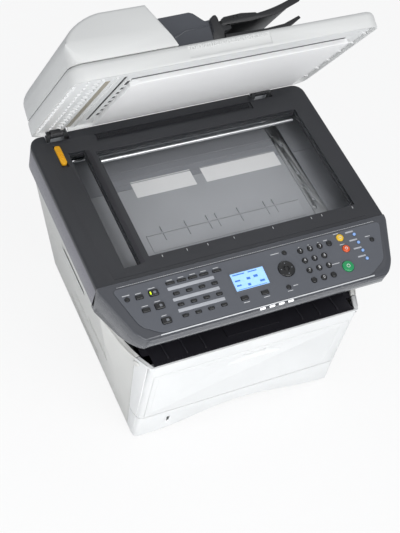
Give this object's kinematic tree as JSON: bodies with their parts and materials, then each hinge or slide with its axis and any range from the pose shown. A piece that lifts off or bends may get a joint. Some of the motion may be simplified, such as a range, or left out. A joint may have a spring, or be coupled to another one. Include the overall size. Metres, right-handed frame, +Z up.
{
  "type": "laser printer",
  "caption": "Desktop laser printer with flatbed scanner, document feeder lid held open, sloped key panel, front cover, multipurpose tray and paper cassette.",
  "frame": {"origin": "middle of the open machine's footprint, on the surface it stands on", "axes": "+X to the machine's right seen from the front, +Y to the rear, +Z up; the lid stands open"},
  "size_m": [0.494, 0.4781, 0.6282],
  "materials": {
    "white_casing": "moulded ABS, fine texture",
    "warm_casing": "moulded ABS, fine texture",
    "charcoal_casing": "moulded ABS, fine texture",
    "side_grey": "moulded ABS, satin",
    "panel_silver": "painted plastic, satin",
    "black_tray": "moulded ABS, matt",
    "clear_glass": "float glass",
    "display_blue": "backlit liquid crystal display",
    "key_black": "moulded keys, satin",
    "key_amber": "moulded keys, satin",
    "key_green": "moulded keys, satin",
    "slider_amber": "moulded acetal",
    "mat_white": "white film on foam",
    "sheet_steel": "zinc-coated sheet",
    "shaft_steel": "ground steel",
    "roller_rubber": "grained rubber",
    "drum_green": "coated aluminium",
    "inner_black": "moulded polycarbonate",
    "board_green": "circuit board",
    "foot_rubber": "soft rubber"
  },
  "bodies": {
    "root": {"chassis": "sheet_steel", "rubber_feet": "foot_rubber", "left_cover": "warm_casing", "right_cover": "warm_casing", "rear_cover": "warm_casing", "output_tray": "black_tray", "laser_scanner": "inner_black", "fuser_housing": "inner_black", "imaging_unit": "inner_black", "toner_container": "inner_black", "main_motor": "sheet_steel", "main_board": "board_green", "power_supply": "board_green", "fan_frame": "inner_black", "scanner_case": "side_grey", "scanner_frame": "charcoal_casing", "scanner_glass": "clear_glass", "carriage_drive": "shaft_steel", "panel_case": "side_grey", "panel_face": "panel_silver", "display": "display_blue", "hinge_brackets": "sheet_steel"},
    "lid": {"lid_shell": "white_casing", "lid_underside": "white_casing", "document_mat": "mat_white", "feeder_frame": "charcoal_casing", "hinge_leaves": "inner_black"},
    "feeder_cover": {"adf_cover": "white_casing"},
    "feed_roller": {"feed_roller": "roller_rubber"},
    "turn_roller": {"turn_roller": "roller_rubber"},
    "document_table": {"document_table": "charcoal_casing"},
    "front_document_guide": {"front_document_guide": "inner_black"},
    "rear_document_guide": {"rear_document_guide": "inner_black"},
    "lock_slider": {"lock_slider": "slider_amber"},
    "scan_carriage": {"scan_carriage": "inner_black"},
    "front_cover": {"front_cover": "white_casing"},
    "mp_tray": {"mp_tray": "white_casing"},
    "cassette": {"cassette_tray": "inner_black", "cassette_face": "white_casing"},
    "lift_plate": {"lift_plate": "sheet_steel"},
    "left_paper_guide": {"left_paper_guide": "inner_black"},
    "right_paper_guide": {"right_paper_guide": "inner_black"},
    "end_guide": {"end_guide": "inner_black"},
    "paper_stopper": {"paper_stopper": "black_tray"},
    "rear_door": {"rear_door": "warm_casing"},
    "power_switch": {"power_switch": "key_black"},
    "pickup_roller": {"pickup_roller": "roller_rubber"},
    "registration_roller": {"registration_roller": "roller_rubber"},
    "transfer_roller": {"transfer_roller": "roller_rubber"},
    "drum": {"drum": "drum_green"},
    "heat_roller": {"heat_roller": "shaft_steel"},
    "pressure_roller": {"pressure_roller": "roller_rubber"},
    "exit_roller": {"exit_roller": "roller_rubber"},
    "fan_rotor": {"fan_rotor": "inner_black"},
    "number_keys": {"number_keys": "key_black"},
    "function_keys": {"function_keys": "key_black"},
    "mode_keys": {"mode_keys": "key_black"},
    "stop_keys": {"stop_keys": "key_amber"},
    "start_key": {"start_key": "key_green"},
    "arrow_keys": {"arrow_keys": "key_black"}
  },
  "joints": [
    {"name": "lid_hinge", "type": "hinge", "parent": "root", "child": "lid", "pos_m": [0, 0.16, 0.328], "axis": [1, 0, 0], "range_deg": [-8, 62]},
    {"name": "feeder_cover_hinge", "type": "hinge", "parent": "lid", "child": "feeder_cover", "pos_m": [-0.2415, 0.18472, 0.34114], "axis": [0, -0.4695, 0.8829], "range_deg": [0, 70]},
    {"name": "feed_roller_spin", "type": "hinge", "parent": "lid", "child": "feed_roller", "pos_m": [-0.15, 0.13914, 0.48226], "axis": [0, 0.4695, -0.8829], "continuous": true},
    {"name": "turn_roller_spin", "type": "hinge", "parent": "lid", "child": "turn_roller", "pos_m": [-0.205, 0.13384, 0.47945], "axis": [0, 0.4695, -0.8829], "continuous": true},
    {"name": "document_table_hinge", "type": "hinge", "parent": "lid", "child": "document_table", "pos_m": [0.006, 0.20944, 0.35429], "axis": [0, -0.4695, 0.8829], "range_deg": [0, 60]},
    {"name": "front_document_guide_slide", "type": "slide", "parent": "document_table", "child": "front_document_guide", "axis": [0, 0.4695, -0.8829], "range_m": [0, 0.035]},
    {"name": "rear_document_guide_slide", "type": "slide", "parent": "document_table", "child": "rear_document_guide", "axis": [0, 0.4695, -0.8829], "range_m": [-0.035, 0]},
    {"name": "lock_slider_slide", "type": "slide", "parent": "root", "child": "lock_slider", "axis": [0, -1, 0], "range_m": [0, 0.005]},
    {"name": "scan_carriage_slide", "type": "slide", "parent": "root", "child": "scan_carriage", "axis": [1, 0, 0], "range_m": [0, 0.44]},
    {"name": "front_cover_hinge", "type": "hinge", "parent": "root", "child": "front_cover", "pos_m": [0, -0.2275, 0.0685], "axis": [1, 0, 0], "range_deg": [0, 32]},
    {"name": "mp_tray_hinge", "type": "hinge", "parent": "front_cover", "child": "mp_tray", "pos_m": [0, -0.2275, 0.0685], "axis": [1, 0, 0], "range_deg": [0, 58]},
    {"name": "cassette_slide", "type": "slide", "parent": "root", "child": "cassette", "axis": [0, -1, 0], "range_m": [0, 0.25]},
    {"name": "lift_plate_hinge", "type": "hinge", "parent": "cassette", "child": "lift_plate", "pos_m": [0, -0.061, 0.015], "axis": [-1, 0, 0], "range_deg": [0, 12]},
    {"name": "left_guide_slide", "type": "slide", "parent": "cassette", "child": "left_paper_guide", "axis": [1, 0, 0], "range_m": [0, 0.03]},
    {"name": "right_guide_slide", "type": "slide", "parent": "cassette", "child": "right_paper_guide", "axis": [1, 0, 0], "range_m": [-0.03, 0]},
    {"name": "end_guide_slide", "type": "slide", "parent": "cassette", "child": "end_guide", "axis": [0, -1, 0], "range_m": [0, 0.08]},
    {"name": "paper_stopper_hinge", "type": "hinge", "parent": "root", "child": "paper_stopper", "pos_m": [0, -0.157, 0.2047], "axis": [-1, 0, 0], "range_deg": [0, 55]},
    {"name": "rear_door_hinge", "type": "hinge", "parent": "root", "child": "rear_door", "pos_m": [0, 0.1385, 0.0715], "axis": [-1, 0, 0], "range_deg": [0, 80]},
    {"name": "power_switch_rock", "type": "hinge", "parent": "root", "child": "power_switch", "pos_m": [-0.131, 0.135, 0.04], "axis": [1, 0, 0], "range_deg": [-6, 6]},
    {"name": "pickup_roller_spin", "type": "hinge", "parent": "root", "child": "pickup_roller", "pos_m": [0, -0.182, 0.076], "axis": [1, 0, 0], "continuous": true},
    {"name": "registration_roller_spin", "type": "hinge", "parent": "root", "child": "registration_roller", "pos_m": [0, -0.179, 0.104], "axis": [1, 0, 0], "continuous": true},
    {"name": "drum_spin", "type": "hinge", "parent": "root", "child": "drum", "pos_m": [0, -0.117, 0.12], "axis": [1, 0, 0], "continuous": true},
    {"name": "transfer_roller_spin", "type": "hinge", "parent": "root", "child": "transfer_roller", "pos_m": [0, -0.117, 0.0967], "axis": [1, 0, 0], "continuous": true},
    {"name": "heat_roller_spin", "type": "hinge", "parent": "root", "child": "heat_roller", "pos_m": [0, 0.048, 0.121], "axis": [1, 0, 0], "continuous": true},
    {"name": "pressure_roller_spin", "type": "hinge", "parent": "root", "child": "pressure_roller", "pos_m": [0, 0.048, 0.0947], "axis": [1, 0, 0], "continuous": true},
    {"name": "exit_roller_spin", "type": "hinge", "parent": "root", "child": "exit_roller", "pos_m": [0, 0.095, 0.192], "axis": [1, 0, 0], "continuous": true},
    {"name": "fan_spin", "type": "hinge", "parent": "root", "child": "fan_rotor", "pos_m": [0, 0.119, 0.238], "axis": [0, 1, 0], "continuous": true},
    {"name": "number_keys_press", "type": "slide", "parent": "root", "child": "number_keys", "axis": [0, 0.1392, -0.9903], "range_m": [0, 0.001], "stiffness_N_per_m": 300},
    {"name": "function_keys_press", "type": "slide", "parent": "root", "child": "function_keys", "axis": [0, 0.1392, -0.9903], "range_m": [0, 0.001], "stiffness_N_per_m": 300},
    {"name": "mode_keys_press", "type": "slide", "parent": "root", "child": "mode_keys", "axis": [0, 0.1392, -0.9903], "range_m": [0, 0.001], "stiffness_N_per_m": 300},
    {"name": "stop_keys_press", "type": "slide", "parent": "root", "child": "stop_keys", "axis": [0, 0.1392, -0.9903], "range_m": [0, 0.001], "stiffness_N_per_m": 300},
    {"name": "start_key_press", "type": "slide", "parent": "root", "child": "start_key", "axis": [0, 0.1392, -0.9903], "range_m": [0, 0.001], "stiffness_N_per_m": 300},
    {"name": "arrow_keys_press", "type": "slide", "parent": "root", "child": "arrow_keys", "axis": [0, 0.1392, -0.9903], "range_m": [0, 0.001], "stiffness_N_per_m": 300}
  ],
  "couplings": [
    {"joint": "turn_roller_spin", "follows": "feed_roller_spin", "ratio": -0.84615},
    {"joint": "rear_document_guide_slide", "follows": "front_document_guide_slide", "ratio": -1},
    {"joint": "right_guide_slide", "follows": "left_guide_slide", "ratio": -1},
    {"joint": "transfer_roller_spin", "follows": "drum_spin", "ratio": -1.875},
    {"joint": "pressure_roller_spin", "follows": "heat_roller_spin", "ratio": -1}
  ]
}
